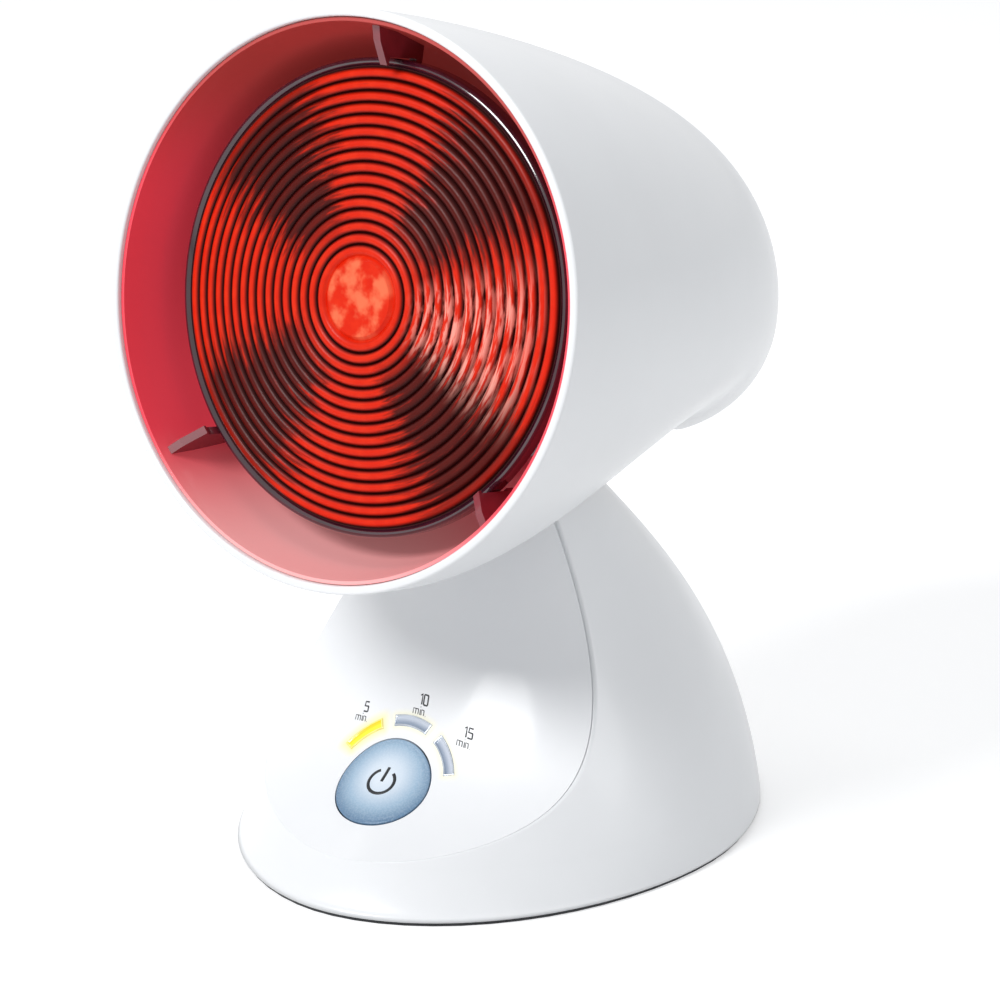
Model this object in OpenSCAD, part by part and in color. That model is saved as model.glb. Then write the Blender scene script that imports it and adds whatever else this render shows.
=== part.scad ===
// Infrared heat therapy lamp: a tilting head with a 150 W pressed-glass
// reflector bulb, on a weighted base with a slanted timer panel.
// Origin: centre of the footprint on the table. +X is the lamp's left-right
// axis, the bulb shines towards -Y, and +Z is up.

/* [Head shell] */
// Radial room from the bulb's flange to the outside of the front rim
rim_room = 12.7; // [12.5:0.1:14]
// Length of the head from its rim to its back
head_length = 157; // [156:0.5:160]
// Wall thickness of the head shell
head_wall = 2.3; // [2:0.1:2.4]
// Share of the radius that the underside is drawn in by
underside_dip = 0.51; // [0.48:0.01:0.52]
// Upward tilt of the head at rest, in degrees
rest_tilt = 12; // [8:1:14]
// Width of the slot in the underside that the neck passes through
slot_w = 50; // [50:0.5:52]

/* [Bulb] */
// Diameter of the bulb's sealed flange
bulb_dia = 122; // [120:0.5:123]
// Depth of the flange behind the rim
bulb_depth = 15.2; // [14.5:0.1:16]
// Height of the lens dome in front of the flange
lens_dome = 5; // [4:0.5:6]
// Length of the bulb from its flange to the tip of its cap
bulb_length = 125; // [124:0.5:126]
// Thickness of the bulb's glass
glass_t = 2.6; // [2:0.1:3]
// Height of the bulb's axis above the head's axis
bulb_rise = 0.8; // [0:0.1:1]

/* [Pivot] */
// Height of the tilt axis above the table
pivot_z = 110; // [110:0.5:113]
// Distance of the tilt axis behind the footprint's centre
pivot_y = 5; // [4:0.5:6]
// Distance of the rim behind which the tilt axis lies in the head
pivot_back = 90; // [89:0.5:91]
// Depth of the tilt axis below the head's axis
pivot_drop = 35.3; // [35:0.1:36]
// Bore of the neck's bearing tube
pivot_bore = 10.1; // [9.6:0.1:10.4]
// Radial running clearance in the bearing
run_gap = 0.05; // [0.02:0.01:0.08]

/* [Base] */
// Width of the base at the table
base_w = 137.4; // [136:0.5:142]
// Reach of the base in front of its centre
base_front = 88.5; // [87:0.5:90]
// Reach of the base behind its centre
base_back = 78; // [77:0.5:80]
// Height of the top of the base's neck
neck_top = 101.3; // [100:0.1:101.5]
// Wall thickness of the base shell, measured level
base_wall = 3; // [2.6:0.1:3.2]
// Thickness of the front panel, measured level
panel_t = 2.6; // [2.2:0.1:3]
// Thickness of the plate that closes the base
plate_t = 2.2; // [1.8:0.1:2.6]
// Thickness of the rubber ring under the base
foot_t = 1.2; // [1:0.1:1.6]
// Thickness of the ballast disc
ballast_t = 9; // [7:0.5:10]

/* [Timer panel] */
// Diameter of the power button
button_dia = 27; // [26:0.2:27.4]
// Travel of the power button
button_travel = 0.8; // [0.5:0.1:1]
// Radial gap round the button
button_gap = 0.35; // [0.3:0.05:0.5]
// Inner radius of the three light windows
window_r = 17.2; // [16.8:0.1:17.6]
// Radial width of the light windows
window_w = 3; // [2.4:0.1:3.4]
// Angle between neighbouring light windows
window_step = 47; // [44:1:50]
// Angle that each light window spans
window_span = 35; // [30:1:38]
// Width of the circuit board
board_w = 58; // [54:1:60]
// Length of the circuit board up the slope
board_l = 40; // [38:1:42]

/* [Fasteners] */
// Thread diameter of the screws
screw_dia = 3; // [2.6:0.1:3.2]
// Clearance of loose fits, measured on the radius
fit_gap = 0.1; // [0.05:0.05:0.2]

/* [Hidden] */
$fn = 64;

// Head shell: station fractions run from the rim (0) to the back (1).
head_r = bulb_dia / 2 + rim_room;
high_power = 1.52;
high_root = 3.93;
ring_sides = 48;
ring_count = 22;
slot_front = 64;
slot_top = 21;
slot_round = 14;
rim_y = pivot_y - pivot_back * cos(rest_tilt) + pivot_drop * sin(rest_tilt);
rim_z = pivot_z + pivot_back * sin(rest_tilt) + pivot_drop * cos(rest_tilt);

// Bulb stations, measured back from the rim.
flange_r = bulb_dia / 2;
lens_s = bulb_depth - lens_dome;
tip_s = bulb_depth + bulb_length;
lens_round = 440;
lens_rings = 16;
ring_first = 10.8;
ring_last = flange_r - 2.4;
ring_depth = 1;
glass_neck_r = 19.5;
cap_r = 13.2;
cap_s = tip_s - 23.5;
holder_r = 22;
holder_bore_r = 14.2;
holder_mouth_r = 17;
holder_s = 112;
plate_s = tip_s + 5.8;
post_h = 47;
post_r = 0.8;
cradle_t = 2;
arm_x = holder_r + 0.5;
boss_x = 28;
boss_r = 4.2;
boss_up = 8;
screw_skin = 1.4;

// Pivot: bearing tube on the neck, bushes in the cradle's arms.
tube_r = 7.5;
tube_half = 17;
washer_t = 0.8;
bush_bore_r = 3.2;
collar_x = tube_half + washer_t + 0.4;
bush_r = pivot_bore / 2 - run_gap;
lead_r = 1.8;

// Base: its sections shrink from the table to these reaches at its full height.
base_h = 108;
top_side = 9.3;
top_front = 47.3;
top_back = 13.3;
top_lean = 3.5;
base_sides = 64;
base_count = 22;
side_power = 1.91;
panel_axis_y = 60;
panel_steps = 14;
panel_low_r = panel_axis_y + base_front + 3.5;
panel_low_z = 7.9;
panel_bend = [[114, 27], [106.5, 18.6]];
panel_high_r = 68.4;
panel_high_z = base_h + 2;
slope = 35;

// Button frame, on the panel's surface.
button_r = button_dia / 2;
button_t = 0.395;
button_z = panel_point(button_t)[1];
button_y = panel_axis_y - panel_point(button_t)[0];
board_d = 14;
board_t = 1.6;
board_top = board_t - board_d;
switch_floor = board_top + 1;
plunger_r = 1.75;
button_back = 2;
board_low = -17;
plate_top = foot_t + plate_t;
ballast_top = plate_top + ballast_t;
screw_r = screw_dia / 2;
boss_back = back_depth(norm([boss_x, boss_up]) + screw_r);
gland_z = 17;
gland_r = 5.5;

function smooth_step(a, b, x) =
    let(u = min(1, max(0, (x - a) / (b - a)))) u * u * (3 - 2 * u);

// Radius of the head above its axis, at a fraction x of its length
function high_share(x) = pow(max(0, 1 - pow(x, high_power)), 1 / high_root);

// Depth of the head below its axis: drawn in towards the neck, fuller behind it
function low_share(x) =
    (1 - underside_dip * smooth_step(0.07, 0.75, x) + 0.2 * smooth_step(0.7, 0.95, x))
    * sqrt(max(0, 1 - pow(x, 8)));

// Stations crowd together towards the rounded back
function station(i) = 1 - pow(1 - i / ring_count, 1.7);

function head_ring(x, inset) =
    let(high = (head_r - inset) * high_share(x))
    let(low = (head_r - inset * (1 + 0.8 * smooth_step(0, 0.4, x))) * low_share(x))
    let(s = x * (head_length - inset))
    [for (k = [0 : ring_sides - 1])
        let(a = -360 * k / ring_sides)
        [max(0.05, high) * sin(a), cos(a) * max(0.05, cos(a) > 0 ? high : low), -s]];

// One closed skin through a list of equal rings of points
module loft(rings) {
    n = len(rings[0]);
    m = len(rings);
    points = [for (ring = rings) each ring];
    sides = [for (i = [0 : m - 2], k = [0 : n - 1])
        let(a = i * n + k, b = i * n + (k + 1) % n)
        each [[a, b, b + n], [a, b + n, a + n]]];
    front = [[for (k = [0 : n - 1]) n - 1 - k]];
    back = [[for (k = [0 : n - 1]) (m - 1) * n + k]];
    polyhedron(points = points, faces = concat(front, sides, back));
}

function head_rings(inset) = [for (i = [0 : ring_count]) head_ring(min(station(i), 0.9996), inset)];

// The wall of the head in one skin: up its inside from the back, over the rim, and down its outside
module head_skin() {
    inside = head_rings(head_wall);
    loft(concat([for (i = [ring_count : -1 : 0]) inside[i]], head_rings(0)));
}

// Frames: head parts are drawn with +Z towards the front and +Y up
module in_head() {
    translate([0, rim_y, rim_z]) rotate([90 - rest_tilt, 0, 0]) children();
}

module in_bulb() {
    in_head() translate([0, bulb_rise, 0]) children();
}

module on_pivot() {
    translate([0, pivot_y, pivot_z]) rotate([0, 90, 0]) children();
}

// A turned part given as points of radius and distance behind the rim
module turned(points) {
    rotate_extrude() polygon([for (p = points) [p[0], -p[1]]]);
}

// A rod along X between two places
module cross_rod(r, from, to) {
    translate([from, 0, 0]) rotate([0, 90, 0]) cylinder(r = r, h = to - from);
}

// A lead: a round wire bent through a list of points
module lead(points, r) {
    for (i = [0 : len(points) - 2]) {
        step = points[i + 1] - points[i];
        length = norm(step);
        translate(points[i]) rotate([0, acos(step[2] / length), atan2(step[1], step[0])]) {
            cylinder(r = r, h = length, $fn = 24);
            if (i > 0) sphere(r = 1.2 * r, $fn = 24);
        }
    }
}

// --- Head ---

module shade_slot() {
    reach = 2 * head_length;
    core_w = slot_w - 2 * slot_round;
    translate([0, -slot_top, 0]) rotate([90, 0, 0]) linear_extrude(height = 2 * head_r) {
        for (side = [-1, 1]) translate([side * core_w / 2, -slot_front - slot_round]) circle(r = slot_round);
        translate([-core_w / 2, -reach]) square([core_w, reach - slot_front]);
        translate([-slot_w / 2, -reach]) square([slot_w, reach - slot_front - slot_round]);
    }
}

// Distance behind the rim of the back of the head, at a radius from its axis
function back_depth(r) = head_length * pow(1 - pow(r / head_r, high_root), 1 / high_power);

module boss_places() {
    for (side = [-1, 1]) translate([side * boss_x, boss_up, 0]) children();
}

module shade() {
    color([0.93, 0.94, 0.96]) in_head() difference() {
        union() {
            head_skin();
            intersection() {
                loft(head_rings(head_wall / 2));
                boss_places() translate([0, 0, -head_length])
                    cylinder(r = boss_r, h = head_length - plate_s - cradle_t);
            }
        }
        shade_slot();
        boss_places() translate([0, 0, screw_skin - boss_back])
            cylinder(r = screw_r + fit_gap, h = head_length);
    }
}

liner_r = head_r - head_wall - 0.25;
liner_points = [
    [liner_r, 1.4], [liner_r - 1.6, 12], [liner_r - 4.6, 24], [liner_r - 13, 40], [liner_r - 24, 56]
];

module reflector_liner() {
    inner = [for (i = [4 : -1 : 0]) liner_points[i] - [0.9, 0]];
    color([0.80, 0.25, 0.28]) in_head() turned(concat(liner_points, inner));
}

// Three ribs centre the bulb's flange in the liner: one on top, two low at the sides
module bulb_supports() {
    color([0.55, 0.12, 0.17]) in_head()
        for (a = [0, 133, -133]) rotate([0, 0, -a]) difference() {
            intersection() {
                translate([-1.1, 0, 0]) rotate([90, 0, 90]) linear_extrude(height = 2.2)
                    polygon([
                        [head_r, -3], [flange_r + 5, -5.5], [flange_r - 1, bulb_depth * -0.62],
                        [flange_r - 1, -24], [head_r, -24]
                    ]);
                turned(concat([[0, 0]], [for (p = liner_points) p - [1, 0]], [[0, 56]]));
            }
            translate([0, bulb_rise * cos(a), 0]) turned([
                [0, lens_s], [flange_r + 0.3, lens_s], [flange_r + 0.3, bulb_depth + 6.2],
                [0, bulb_depth + 6.2]
            ]);
        }
}

// Distance behind the rim of the lens's dome, at a radius from the bulb's axis
function dome_s(r) = lens_s + r * r / (2 * lens_round);

// Moulded front of the bulb: a plain middle, then rings as high as they are narrow
module bulb_lens() {
    step = (ring_last - ring_first) / lens_rings;
    back = bulb_depth + 1.4;
    crests = [for (i = [0 : lens_rings - 1]) each [
        [ring_first + i * step, dome_s(ring_first + i * step) + ring_depth],
        [ring_first + (i + 0.3) * step, dome_s(ring_first + (i + 0.3) * step) + 0.1],
        [ring_first + (i + 0.7) * step, dome_s(ring_first + (i + 0.7) * step) + 0.1]
    ]];
    front = [[0, lens_s], [ring_first * 0.6, dome_s(ring_first * 0.6)], [ring_first - 0.6, dome_s(ring_first)]];
    band = [
        [ring_last, dome_s(ring_last) + ring_depth], [ring_last + 0.5, bulb_depth - 1],
        [flange_r - 0.5, bulb_depth - 1], [flange_r, bulb_depth - 0.5]
    ];
    hollow =[for (r = [ring_last * 0.66, ring_last * 0.33, 0]) [r, dome_s(r) + ring_depth + glass_t]];
    color([0.86, 0.16, 0.06]) in_bulb()
        turned(concat(front, crests, band, [[flange_r, back], [flange_r - 5, back]], hollow));
}

module bulb_reflector() {
    back = bulb_depth + 1.4;
    outer = [
        [flange_r, back], [flange_r, back + 2.2], [flange_r - 3, back + 4.5],
        [flange_r * 0.84, back + 19], [flange_r * 0.64, back + 43], [flange_r * 0.44, back + 64],
        [glass_neck_r + 1.2, back + 79], [glass_neck_r, back + 86], [cap_r + 1.3, cap_s + 1]
    ];
    inner = [for (i = [7 : -1 : 1]) outer[i] - [glass_t, 0.4]];
    floor = [[0, cap_s + 1], [0, cap_s - 5], [cap_r, cap_s - 5]];
    color([0.62, 0.60, 0.62]) in_bulb() difference() {
        turned(concat(outer, floor, inner, [[flange_r - 5, back]]));
        post_places() cylinder(r = post_r + fit_gap / 2, h = 20);
    }
}

module filament_posts() {
    color([0.7, 0.7, 0.72]) in_bulb() post_places() cylinder(r = post_r, h = post_h);
}

// Feet of the two wires that are sealed in the bulb's glass floor
module post_places() {
    for (side = [-1, 1]) translate([side * 7, 0, -cap_s - 4]) children();
}

module filament() {
    wire_r = 1.1;
    color([0.35, 0.33, 0.32]) in_bulb() translate([0, 0, post_h - cap_s - 4 + wire_r + 0.02])
        cross_rod(wire_r, -8.5, 8.5);
}

module bulb_cap() {
    thread = [for (i = [0 : 3]) each [[cap_r - 0.5, cap_s + 4.4 + i * 3.6], [cap_r, cap_s + 6.2 + i * 3.6]]];
    outer = concat([[cap_r + 0.4, cap_s + 1.2], [cap_r + 0.4, cap_s + 3]], thread,
        [[cap_r - 0.8, tip_s - 3.6], [6.2, tip_s - 2.4]]);
    color([0.78, 0.66, 0.35]) in_bulb()
        turned(concat(outer, [[6.2, tip_s - 3], [cap_r - 2.2, tip_s - 4.4], [cap_r - 2.2, cap_s + 1.2]]));
}

module cap_insulator() {
    color([0.12, 0.1, 0.16]) in_bulb()
        turned([[2.6, tip_s - 3.6], [6.15, tip_s - 3], [6.15, tip_s - 2.2], [4.8, tip_s - 1.2], [2.6, tip_s - 1.2]]);
}

module cap_contact() {
    color([0.75, 0.75, 0.76]) in_bulb()
        turned([[0, tip_s - 3.6], [2.55, tip_s - 3.6], [2.55, tip_s - 0.8], [1.6, tip_s], [0, tip_s]]);
}

module lamp_holder() {
    color([0.93, 0.91, 0.85]) in_bulb() difference() {
        turned([
            [holder_mouth_r, holder_s], [holder_r - 1.5, holder_s], [holder_r, holder_s + 1.5],
            [holder_r, holder_s + 22], [holder_r - 2, holder_s + 24], [holder_r - 2, plate_s - 0.05],
            [0, plate_s - 0.05], [0, tip_s + 1.6], [holder_bore_r + 0.6, tip_s + 1.6],
            [holder_bore_r + 0.6, cap_s + 3], [holder_mouth_r, cap_s + 3]
        ]);
        for (side = [-1, 1]) translate([side * 9, 0, -plate_s - 1])
            cylinder(r = screw_r + fit_gap, h = 5);
        terminal_places() translate([0, 2.5, 0]) cube([7.2, 6, 8.2], center = true);
    }
}

module terminal_places() {
    for (side = [-1, 1]) translate([side * 7.5, 2 - holder_r, -holder_s - 29]) children();
}

module holder_thread() {
    wall = 0.45;
    color([0.8, 0.62, 0.36]) in_bulb() turned([
        [holder_bore_r, cap_s + 4.5], [holder_bore_r + wall, cap_s + 4.5],
        [holder_bore_r + wall, tip_s + 1.5], [9, tip_s + 1.5], [9, tip_s + 1], [holder_bore_r, tip_s + 1]
    ]);
}

module holder_contact() {
    color([0.85, 0.68, 0.4]) in_bulb() union() {
        translate([0, 0, -tip_s - 0.5]) cylinder(r = 3, h = 0.45);
        translate([-2, 0, -tip_s - 1.55]) cube([4, 7, 0.5]);
        translate([-2, 0, -tip_s - 1.5]) cube([4, 1, 1.3]);
    }
}

module holder_terminals() {
    color([0.82, 0.7, 0.42]) in_bulb() terminal_places() difference() {
        translate([0, 2.4, 0]) cube([7, 5.6, 8], center = true);
        translate([0, -2, 2]) rotate([-90, 0, 0]) cylinder(r = 1.2, h = 3);
    }
}

module holder_screws() {
    color([0.7, 0.7, 0.72]) in_bulb() for (side = [-1, 1]) translate([side * 9, 0, -plate_s - cradle_t])
        screw_shape(cradle_t + 3.5);
}

// A screw with its head below z = 0 and its shank up along +Z
module screw_shape(length) {
    difference() {
        union() {
            cylinder(r = screw_r, h = length);
            translate([0, 0, -1.8]) cylinder(r = screw_r * 1.9, h = 1.8);
        }
        translate([0, 0, -2]) cylinder(r = screw_r * 0.9, h = 1.2, $fn = 6);
    }
}

// Side outline of the cradle's arm, as height over distance in front of the back plate
module arm_outline() {
    union() {
        translate([-pivot_drop, -pivot_back]) circle(r = tube_r);
        polygon([
            [-pivot_drop - tube_r * 0.8, -pivot_back - tube_r * 0.6],
            [-pivot_drop + tube_r * 0.8, -pivot_back + tube_r * 0.6],
            [bulb_rise + 11, -holder_s - 8], [bulb_rise + 11, -plate_s - cradle_t],
            [bulb_rise - 12, -plate_s - cradle_t]
        ]);
    }
}

module lamp_cradle() {
    color([0.72, 0.73, 0.75]) difference() {
        in_head() union() {
            for (side = [0, 1]) mirror([side, 0, 0]) translate([arm_x, 0, 0])
                rotate([90, 0, 90]) linear_extrude(height = cradle_t) arm_outline();
            translate([-boss_x - boss_r, bulb_rise - 9, -plate_s - cradle_t])
                cube([2 * (boss_x + boss_r), 21, cradle_t]);
        }
        on_pivot() cylinder(r = bush_r + fit_gap / 2, h = 4 * arm_x, center = true);
        in_bulb() for (side = [-1, 1]) translate([side * 9, 0, -plate_s - 5])
            cylinder(r = screw_r + fit_gap, h = 10);
        in_head() boss_places() translate([0, 0, -plate_s - 5])
            cylinder(r = screw_r + fit_gap, h = 10);
    }
}

module cradle_screws() {
    color([0.7, 0.7, 0.72]) in_head() boss_places() translate([0, 0, -plate_s])
        mirror([0, 0, 1]) screw_shape(boss_back - screw_skin - 0.4 - plate_s);
}

module pivot_bushes() {
    color([0.8, 0.68, 0.4]) difference() {
        on_pivot() for (side = [0, 1]) mirror([0, 0, side]) {
            translate([0, 0, 9]) cylinder(r = bush_r, h = arm_x + cradle_t - 9);
            translate([0, 0, collar_x]) cylinder(r = tube_r, h = arm_x - collar_x - 0.05);
        }
        on_pivot() cylinder(r = bush_bore_r, h = 4 * arm_x, center = true);
        in_head() translate([collar_x - 0.1, -1.4 * lead_r - pivot_drop, -pivot_back - 12])
            cube([arm_x - collar_x - 0.3, 3 * lead_r, 12]);
    }
}

// Spring washers press the arms against the bearing tube and hold the tilt
module friction_washers() {
    inner = bush_r + 0.15;
    color([0.6, 0.61, 0.63]) on_pivot() for (side = [0, 1]) mirror([0, 0, side])
        rotate_extrude() polygon([
            [inner, tube_half + 0.3], [tube_r, tube_half + 0.1],
            [tube_r, tube_half + 0.1 + washer_t * 0.6], [inner, tube_half + 0.3 + washer_t]
        ]);
}

module head_leads() {
    bend_x = collar_x + 0.1 + lead_r;
    color([0.88, 0.86, 0.8]) in_head() lead([
        [14, -pivot_drop, -pivot_back], [bend_x, -pivot_drop, -pivot_back],
        [bend_x, -pivot_drop + 1, -pivot_back - 16], [10, -holder_r - 6, -holder_s - 4],
        [7.5, -holder_r - 4, -holder_s - 26], [7.5, -holder_r - 0.9, -holder_s - 29]
    ], lead_r);
}

// --- Base ---

function share(z, power, root) =
    let(rise = max(0, z - foot_t) / (base_h - foot_t)) pow(max(0, 1 - pow(rise, power)), root);
function half_width(z) = top_side + (base_w / 2 - top_side) * share(z, 1.25, 0.81);
function half_back(z) = top_back + (base_back - top_back) * share(z, 2.28, 1.35);
function half_front(z) = top_front + (base_front - top_front) * share(z, 0.5, 0.49);
function level_y(z) = top_lean * z / base_h;

// Superellipse section of the base at height z, drawn in by an inset
function outline(z, inset) =
    let(e = 2 / side_power, w = half_width(z) - inset)
    let(f = half_front(z) - inset, b = half_back(z) - inset)
    [for (k = [0 : base_sides - 1])
        let(a = 360 * k / base_sides, c = cos(a), s = sin(a))
        [w * sign(c) * pow(abs(c), e), level_y(z) + (s < 0 ? f : b) * sign(s) * pow(abs(s), e)]];

function level_ring(z, inset) = [for (p = outline(z, inset)) [p[0], p[1], z]];

// Section heights close up where the base spreads to the table
function section_height(i, from, to) = from + (to - from) * pow(i / base_count, 1.4);

module base_form(inset, from, to) {
    loft([for (i = [base_count : -1 : 0]) level_ring(section_height(i, from, to), inset)]);
}

// Panel surface: turned about an upright axis behind the panel
function curve_point(t, a, b, c, d) =
    pow(1 - t, 3) * a + 3 * pow(1 - t, 2) * t * b + 3 * (1 - t) * t * t * c + t * t * t * d;
function panel_point(t) = [
    curve_point(t, panel_low_r, panel_bend[0][0], panel_bend[1][0], panel_high_r),
    curve_point(t, panel_low_z, panel_bend[0][1], panel_bend[1][1], panel_high_z)
];

// Everything behind the panel surface, moved back by an inset
module behind_panel(inset) {
    edge = [for (i = [0 : panel_steps]) panel_point(i / panel_steps) - [inset, 0]];
    bottom = [[panel_low_r + 20, -12]];
    translate([0, panel_axis_y, 0]) rotate_extrude($fn = 180)
        polygon(concat([[0, -12]], bottom, edge, [[0, panel_high_z]]));
}

function panel_place(p) = [
    p[0], button_y + p[1] * cos(slope) - p[2] * sin(slope),
    button_z + p[1] * sin(slope) + p[2] * cos(slope)
];

module on_panel() {
    translate([0, button_y, button_z]) rotate([slope, 0, 0]) children();
}

module base_shell() {
    color([0.92, 0.93, 0.95]) difference() {
        base_form(0, foot_t, neck_top);
        difference() {
            base_form(base_wall, foot_t - 0.6, neck_top - 2.4);
            at_holes(shell_holes, plate_top) cylinder(r = 4, h = base_h);
        }
        at_holes(shell_holes, plate_top - 1) cylinder(r = screw_r + fit_gap, h = 7);
        difference() {
            translate([-base_w, -2 * base_front, 0]) cube([2 * base_w, 2 * base_front + pivot_y, 200]);
            behind_panel(panel_t + fit_gap);
        }
        translate([-12.4, pivot_y - 9.2, neck_top - 8]) cube([24.8, 18.4, 20]);
        translate([0, gland_y - 9, gland_z]) rotate([-90, 0, 0])
            cylinder(r = gland_r + fit_gap, h = 30);
    }
}

module window_arc(angle, height, grow) {
    rotate([0, 0, 90 - angle - window_span / 2 - grow * 3]) rotate_extrude(angle = window_span + grow * 6)
        translate([window_r - grow, 0]) square([window_w + 2 * grow, height]);
}

board_posts = [[-24, -11], [24, -11], [-24, 15], [24, 15]];

module front_panel() {
    color([0.95, 0.95, 0.96]) difference() {
        union() {
            intersection() {
                base_form(0, foot_t, neck_top);
                difference() {
                    behind_panel(0);
                    behind_panel(panel_t);
                }
                translate([-base_w, -2 * base_front, 0]) cube([2 * base_w, 2 * base_front + pivot_y - 12, 200]);
            }
            intersection() {
                union() {
                    on_panel() for (p = board_posts) translate([p[0], p[1], board_top])
                        cylinder(r = 3, h = board_d);
                    at_holes(panel_holes, plate_top) cylinder(r = 4, h = base_h);
                }
                behind_panel(panel_t - 0.5);
            }
        }
        at_holes(panel_holes, plate_top - 1) cylinder(r = screw_r + fit_gap, h = 7);
        on_panel() translate([0, 0, -8]) cylinder(r = button_r + button_gap, h = 20);
        on_panel() for (k = [-1 : 1]) translate([0, 0, -8]) window_arc(k * window_step, 20, fit_gap);
        on_panel() for (p = board_posts) translate([p[0], p[1], board_top - 1])
            cylinder(r = screw_r * 0.7 + fit_gap, h = 7);
    }
}

panel_holes = [[35, -46], [-35, -46]];
shell_holes = [[39, 42], [-39, 42], [0, 62]];
ballast_holes = [[24, 30], [-24, 30]];
ballast_w = 68;
ballast_r = 52;
ballast_front = 18;
bracket_foot = 23;
bracket_holes = [for (side = [-1, 1]) [0, pivot_y + side * (bracket_foot - 6)]];
terminal_y = 45;

module at_holes(places, z) {
    for (p = places) translate([p[0], p[1], z]) children();
}

module base_plate() {
    color([0.25, 0.26, 0.28]) difference() {
        translate([0, 0, foot_t]) linear_extrude(height = plate_t)
            polygon(outline(plate_top, base_wall + 0.2 + fit_gap));
        at_holes(concat(panel_holes, shell_holes, ballast_holes, bracket_holes), 0)
            cylinder(r = screw_r + fit_gap, h = 20);
    }
}

module ballast() {
    color([0.35, 0.35, 0.37]) difference() {
        intersection() {
            translate([0, 2, plate_top]) cylinder(r = ballast_r, h = ballast_t, $fn = 96);
            translate([-ballast_w / 2, -ballast_front, plate_top])
                cube([ballast_w, ballast_front + terminal_y - 1, ballast_t]);
        }
        translate([-15, pivot_y - bracket_foot - 0.5, 0]) cube([30, 2 * bracket_foot + 1, base_h]);
        at_holes(ballast_holes, 0) cylinder(r = screw_r + fit_gap, h = base_h);
    }
}

module foot_ring() {
    color([0.15, 0.15, 0.16]) linear_extrude(height = foot_t) difference() {
        polygon(outline(foot_t, 0.8));
        polygon(outline(foot_t, 9));
    }
}

// Screws go up from below; their heads sit in the depth of the foot ring
module low_screw(length) {
    translate([0, 0, foot_t]) difference() {
        union() {
            cylinder(r = screw_r, h = length);
            translate([0, 0, -0.9]) cylinder(r = screw_r * 1.8, h = 0.9);
        }
        translate([0, 0, -1.1]) cylinder(r = screw_r * 0.8, h = 0.8, $fn = 6);
    }
}

module plate_screws() {
    color([0.7, 0.7, 0.72]) at_holes(concat(panel_holes, shell_holes), 0)
        low_screw(plate_t + 5);
}

module ballast_screws() {
    color([0.7, 0.7, 0.72]) at_holes(ballast_holes, 0) low_screw(plate_t + 7);
}

// Steel frame from the base plate to the bearing tube
module neck_bracket() {
    cheek = 8;
    color([0.7, 0.71, 0.73]) difference() {
        union() {
            for (side = [-1, 1]) translate([side * (cheek + 1) - 1, pivot_y - tube_r, plate_top])
                cube([2, 2 * tube_r, pivot_z - plate_top]);
            translate([-cheek - 2, pivot_y - bracket_foot, plate_top])
                cube([2 * cheek + 4, 2 * bracket_foot, 2]);
            on_pivot() cylinder(r = tube_r, h = 2 * tube_half, center = true);
        }
        on_pivot() cylinder(r = pivot_bore / 2, h = 3 * tube_half, center = true);
        translate([-cheek, pivot_y - 4, pivot_z - tube_r - 1]) cube([2 * cheek, 8, tube_r]);
        at_holes(bracket_holes, 0) cylinder(r = screw_r + fit_gap, h = 20);
    }
}

module bracket_screws() {
    color([0.7, 0.7, 0.72]) at_holes(bracket_holes, 0) low_screw(plate_t + 4);
}

module timer_board() {
    color([0.1, 0.4, 0.22]) on_panel() difference() {
        translate([-board_w / 2, board_low, -board_d]) cube([board_w, board_l, board_t]);
        for (p = board_posts) translate([p[0], p[1], -board_d - 1])
            cylinder(r = screw_r * 0.7 + fit_gap, h = 5);
    }
}

module board_screws() {
    color([0.7, 0.7, 0.72]) on_panel() for (p = board_posts) translate([p[0], p[1], -board_d]) union() {
        cylinder(r = screw_r * 0.7, h = 6);
        translate([0, 0, -1.4]) cylinder(r = screw_r * 1.4, h = 1.4);
    }
}

module relay() {
    color([0.15, 0.3, 0.6]) on_panel() translate([-19, 3, -board_d - 13]) cube([15, 12, 13]);
}

module supply_capacitor() {
    color([0.75, 0.35, 0.1]) on_panel() translate([4, 4, -board_d - 11]) cube([18, 8, 11]);
}

module tact_switch() {
    color([0.2, 0.2, 0.22]) on_panel() difference() {
        translate([-3, -3, board_top]) cube([6, 6, 3.5]);
        translate([0, 0, switch_floor]) cylinder(r = plunger_r + fit_gap, h = 5);
    }
}

module timer_leds() {
    color([0.95, 0.85, 0.3]) on_panel() for (k = [-1 : 1]) rotate([0, 0, -k * window_step])
        translate([0, window_r + window_w / 2, board_top]) union() {
            cylinder(r = 1.4, h = 2.4);
            translate([0, 0, 2.4]) sphere(r = 1.4);
        }
}

module led_window(angle) {
    top = 0.35;
    on_panel() difference() {
        translate([0, 0, board_top + 4]) window_arc(angle, top - board_top - 4, 0);
        translate([0, 0, board_top]) rotate([0, 0, -angle])
            translate([0, window_r + window_w / 2, 0]) cylinder(r = 1.6, h = 4.2);
    }
}

module led_window_5() {
    color([0.95, 0.83, 0.1]) led_window(-window_step);
}

module led_window_10() {
    color([0.62, 0.68, 0.75]) led_window(0);
}

module led_window_15() {
    color([0.62, 0.68, 0.75]) led_window(window_step);
}

// Gland in the back wall, where a mains lead enters
gland_y = half_back(gland_z) + level_y(gland_z);

module cord_gland() {
    color([0.2, 0.2, 0.22]) translate([0, gland_y, gland_z]) rotate([-90, 0, 0]) difference() {
        union() {
            translate([0, 0, -base_wall - 3]) cylinder(r = gland_r, h = base_wall + 4.2);
            translate([0, 0, 0.6]) cylinder(r = gland_r + 1.6, h = 1.8);
            translate([0, 0, -base_wall - 3]) cylinder(r = gland_r + 1.4, h = 1.6);
        }
        translate([0, 0, -10]) cylinder(r = 3.2, h = 20);
    }
}

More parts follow.
